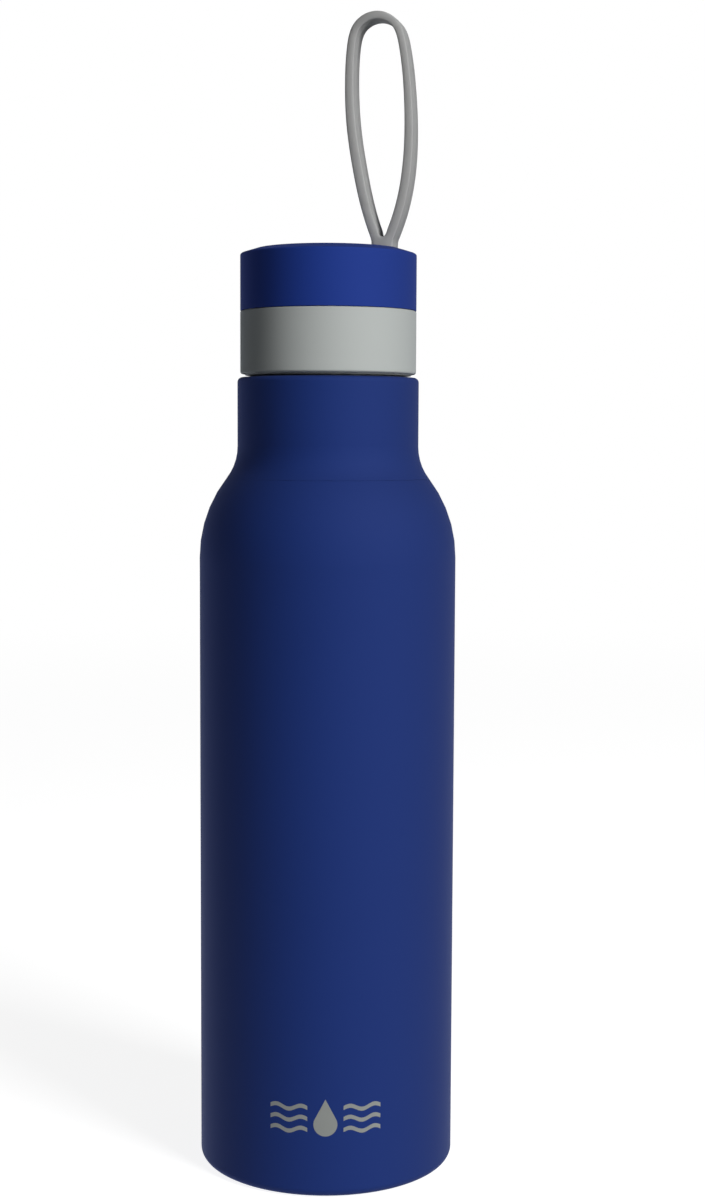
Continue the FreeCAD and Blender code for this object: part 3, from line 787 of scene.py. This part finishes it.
def build_loop():
    contour, opening, bore = loop_outlines()
    half = LOOP_WIDTH / 2
    # Each layer: how far in the outline lies, and the position along the pin.
    layers = [(inset, half - drop) for inset, drop in quarter_round(LOOP_EDGE_ROUND)]
    layers += [
        (0.0, half - LOOP_EDGE_ROUND - SUPPORT),
        (0.0, PARTING_FOOT),
        (-PARTING_LINE * 0.7, PARTING_SHOULDER),
        (-PARTING_LINE, 0.0),
    ]
    layers = [(depth + PARTING_LINE, t) for depth, t in layers]
    layers += [(depth, -t) for depth, t in reversed(layers[:-1])]

    verts, faces = [], []
    ends = {0: [], len(layers) - 1: []}
    for outline, hole, rounds in (
        (contour, False, True), (opening, True, True), (bore, True, False)
    ):
        count, first = len(outline), len(verts)
        for depth, t in layers:
            ring = moved_inwards(outline, depth if rounds else 0.0, hole)
            verts += [loop_frame(p[0], t, p[1]) for p in ring]
        faces += quads(len(layers), count, first)
        for end, loops in ends.items():
            loops.append([first + end * count + k for k in range(count)])
    for loops in ends.values():
        flat = [i for loop in loops for i in loop]
        triangles = tessellate_polygon([[Vector(verts[i]) for i in loop] for loop in loops])
        faces += [[flat[i] for i in triangle] for triangle in triangles]
    new_piece("carry_loop", verts, faces, SILICONE, "strap", ["strap"])


# ---- the printed mark ----------------------------------------------------------------------------
def wave_outline(centre_s, centre_z):
    """Outline of a wavy ribbon, s being the distance along the shell's surface."""
    top, bottom = [], []
    for k in range(WAVE_STEPS + 1):
        x = k / WAVE_STEPS
        z = centre_z + WAVE_HEIGHT * math.sin(math.tau * WAVE_COUNT * x)
        s = centre_s + WAVE_WIDTH * (x - 0.5)
        top.append((s, z + WAVE_THICKNESS / 2))
        bottom.append((s, z - WAVE_THICKNESS / 2))
    return bottom + top[::-1]


def drop_outline():
    """Outline of a drop: a circle and the two tangents that meet in its tip."""
    centre_z = DROP_BOTTOM + DROP_RADIUS
    tip = DROP_BOTTOM + DROP_HEIGHT
    half_gap = math.acos(DROP_RADIUS / (tip - centre_z))
    points = []
    for k in range(DROP_STEPS + 1):
        angle = math.pi / 2 + half_gap + (math.tau - 2 * half_gap) * k / DROP_STEPS
        points.append((DROP_RADIUS * math.cos(angle), centre_z + DROP_RADIUS * math.sin(angle)))
    points.append((0.0, tip))
    return points


def build_mark():
    """Thin printed shapes wrapped on the shell's front."""
    shapes = [drop_outline()]
    for side in (-1, 1):
        for row in range(WAVE_ROWS):
            shapes.append(wave_outline(side * WAVE_OFFSET, WAVE_BOTTOM + WAVE_PITCH * row))
    bm = bmesh.new()
    for outline in shapes:
        bm.faces.new([bm.verts.new((s, 0, z)) for s, z in outline])
    for s in np.arange(-MARK_HALF_WIDTH, MARK_HALF_WIDTH + 0.01, MARK_STEP):
        everything = bm.verts[:] + bm.edges[:] + bm.faces[:]
        bmesh.ops.bisect_plane(bm, geom=everything, plane_co=(s, 0, 0), plane_no=(1, 0, 0))
    grown = bmesh.ops.extrude_face_region(bm, geom=bm.faces[:])
    back = {v for v in grown["geom"] if isinstance(v, bmesh.types.BMVert)}
    for v in bm.verts:
        radius = BODY_RADIUS - MARK_SUNK if v in back else BODY_RADIUS + MARK_PROUD
        angle = MARK_TURN + v.co.x / BODY_RADIUS
        v.co = Vector((radius * math.cos(angle), radius * math.sin(angle), v.co.z))
    verts = [tuple(v.co) for v in bm.verts]
    bm.verts.index_update()
    faces = [[v.index for v in f.verts] for f in bm.faces]
    bm.free()
    new_piece("printed_mark", verts, faces, PRINT, "bottle", smooth=False)


# ---- carried-over CAD nodes ----------------------------------------------------------------------
def dress_cad_nodes():
    """New materials for the nodes that keep their CAD meshes."""
    finishes = {
        "liner_base": STEEL,
        "vacuum_seal": GLASS_BEAD,
        "getter_holder": PIN_STEEL,
        "getter_pellet": POWDER,
        "radiation_wrap": FOIL,
        "plug_foam": FOAM,
        "pin_retainer": PLUG_PLASTIC,
        "retainer_screws": PIN_STEEL,
        "strap_pin": PIN_STEEL,
    }
    for node, material in finishes.items():
        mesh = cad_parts[node].data
        mesh.materials.clear()
        mesh.materials.append(material)


# ---- studio --------------------------------------------------------------------------------------
BACKDROP = 1.0              # radiance of the pale surroundings as the camera sees them
BOUNCE = 0.30               # light that the floor near the bottle throws on it
FILL = 0.012                # light that the room throws on it
FLOOR_GLOSS = 1.80          # radiance of the floor as the object mirrors it
ROOM_GLOSS = 0.46           # radiance of the room as the object mirrors it
FILL_TINT = (0.93, 0.99, 1.10, 1)
WHITE = (1, 1, 1, 1)

FLOOR_RADIUS = 12.0         # metres
FLOOR_DROP = 0.0002         # metres that the floor lies below the standing ring
FLOOR_GREY = (0.40, 0.40, 0.40, 1)
FLOOR_GLOW = 0.89           # own light of the floor near the bottle, as the camera sees it
# Distances from the bottle, in metres, over which the floor changes from near to far.
SEEN_FADE = (0.3, 1.6)
BOUNCE_FADE = (0.10, 0.65)
MIRROR_FADE = (0.5, 2.0)

# Each light: name, position, target, size in metres, watts.
LIGHTS = [
    ("key_softbox", (0.890, -0.940, 0.85), (0, 0, 0.18), (0.5, 1.2), 22.5),
    ("top_softbox", (0.42, -0.52, 1.25), (0, 0, 0.25), (0.5, 0.5), 1.2),
    ("side_softbox", (1.2, 0.35, 0.35), (0, 0, 0.15), (0.4, 1.2), 0.6),
]

CAMERA_PLACE = (0.0, -0.5485, 0.2103)
CAMERA_PITCH = 0.08761      # radians, downwards
CAMERA_YAW = 0.01303
CAMERA_ROLL = 0.00398
FOCAL_LENGTH = 57.63        # mm
SENSOR_WIDTH = 36.0         # mm
CLIP_START = 0.01           # metres


def by_ray(tree, seen, mirrored, felt, output):
    """Shows one shader to the camera, mirrors a second in the object, lights it with a third."""
    rays = tree.nodes.new("ShaderNodeLightPath")
    source = felt
    for kind, shader in (("Is Glossy Ray", mirrored), ("Is Camera Ray", seen)):
        mix = tree.nodes.new("ShaderNodeMixShader")
        tree.links.new(rays.outputs[kind], mix.inputs["Fac"])
        tree.links.new(source, mix.inputs[1])
        tree.links.new(shader, mix.inputs[2])
        source = mix.outputs[0]
    tree.links.new(source, output)


def build_floor():
    """A pale floor that brightens into the backdrop."""
    bm = bmesh.new()
    bmesh.ops.create_circle(bm, cap_ends=True, radius=FLOOR_RADIUS, segments=96)
    mesh = bpy.data.meshes.new("studio_floor")
    bm.to_mesh(mesh)
    bm.free()
    floor = bpy.data.objects.new("studio_floor", mesh)
    floor.location.z = -FLOOR_DROP
    bpy.context.scene.collection.objects.link(floor)
    material = bpy.data.materials.new("pale_floor")
    material.use_nodes = True
    tree = material.node_tree
    shader = tree.nodes["Principled BSDF"]
    shader.inputs["Base Color"].default_value = FLOOR_GREY
    shader.inputs["Roughness"].default_value = 0.9
    shader.inputs["Specular IOR Level"].default_value = 0.0
    shader.inputs["Emission Color"].default_value = WHITE
    shader.inputs["Emission Strength"].default_value = FLOOR_GLOW

    place = tree.nodes.new("ShaderNodeTexCoord")
    length = tree.nodes.new("ShaderNodeVectorMath")
    length.operation = "LENGTH"
    tree.links.new(place.outputs["Object"], length.inputs[0])

    def fade(distances, start, end):
        """A value that goes from start to end over a pair of distances from the bottle."""
        node = tree.nodes.new("ShaderNodeMapRange")
        node.interpolation_type = "SMOOTHSTEP"
        node.inputs["From Min"].default_value = distances[0]
        node.inputs["From Max"].default_value = distances[1]
        node.inputs["To Min"].default_value = start
        node.inputs["To Max"].default_value = end
        tree.links.new(length.outputs["Value"], node.inputs["Value"])
        return node.outputs["Result"]

    glow = tree.nodes.new("ShaderNodeEmission")
    glow.inputs["Strength"].default_value = BACKDROP
    mix = tree.nodes.new("ShaderNodeMixShader")
    tree.links.new(fade(SEEN_FADE, 0, 1), mix.inputs["Fac"])
    tree.links.new(shader.outputs[0], mix.inputs[1])
    tree.links.new(glow.outputs[0], mix.inputs[2])
    bounce = tree.nodes.new("ShaderNodeEmission")
    tree.links.new(fade(BOUNCE_FADE, BOUNCE, FILL), bounce.inputs["Strength"])
    mirrored = tree.nodes.new("ShaderNodeEmission")
    mirrored.inputs["Color"].default_value = FILL_TINT
    tree.links.new(fade(MIRROR_FADE, FLOOR_GLOSS, ROOM_GLOSS), mirrored.inputs["Strength"])
    by_ray(tree, mix.outputs[0], mirrored.outputs[0], bounce.outputs[0],
           tree.nodes["Material Output"].inputs["Surface"])
    mesh.materials.append(material)


def area_light(name, position, target, size, power):
    data = bpy.data.lights.new(name, "AREA")
    data.shape = "RECTANGLE"
    data.size, data.size_y = size
    data.energy = power
    light = bpy.data.objects.new(name, data)
    light.location = position
    aim = Vector(target) - Vector(position)
    light.rotation_euler = aim.to_track_quat("-Z", "Y").to_euler()
    light.visible_camera = False
    bpy.context.scene.collection.objects.link(light)


def build_light():
    for light in LIGHTS:
        area_light(*light)
    world = bpy.data.worlds.new("studio")
    bpy.context.scene.world = world
    world.use_nodes = True
    tree = world.node_tree

    def room(colour, strength):
        node = tree.nodes.new("ShaderNodeBackground")
        node.inputs["Color"].default_value = colour
        node.inputs["Strength"].default_value = strength
        return node.outputs[0]

    by_ray(tree, room(WHITE, BACKDROP), room(FILL_TINT, ROOM_GLOSS), room(FILL_TINT, FILL),
           tree.nodes["World Output"].inputs["Surface"])
    bpy.context.scene.view_settings.view_transform = "Standard"


def build_camera():
    """A camera half a metre in front of the bottle, looking slightly down."""
    level = math.cos(CAMERA_PITCH)
    forward = Vector((
        math.sin(CAMERA_YAW) * level, math.cos(CAMERA_YAW) * level, -math.sin(CAMERA_PITCH)
    ))
    right = Vector((math.cos(CAMERA_YAW), -math.sin(CAMERA_YAW), 0))
    up = right.cross(forward)
    tilted_right = right * math.cos(CAMERA_ROLL) + up * math.sin(CAMERA_ROLL)
    tilted_up = up * math.cos(CAMERA_ROLL) - right * math.sin(CAMERA_ROLL)
    data = bpy.data.cameras.new("camera")
    data.lens = FOCAL_LENGTH
    data.sensor_width = SENSOR_WIDTH
    data.clip_start = CLIP_START
    camera = bpy.data.objects.new("camera", data)
    axes = Matrix((tilted_right, tilted_up, -forward)).transposed()
    camera.matrix_world = Matrix.Translation(CAMERA_PLACE) @ axes.to_4x4()
    bpy.context.scene.collection.objects.link(camera)
    bpy.context.scene.camera = camera


# ---- the scene -----------------------------------------------------------------------------------
build_camera()
build_vessel()
build_lid()
build_cap()
build_loop()
build_mark()
dress_cad_nodes()
build_floor()
build_light()
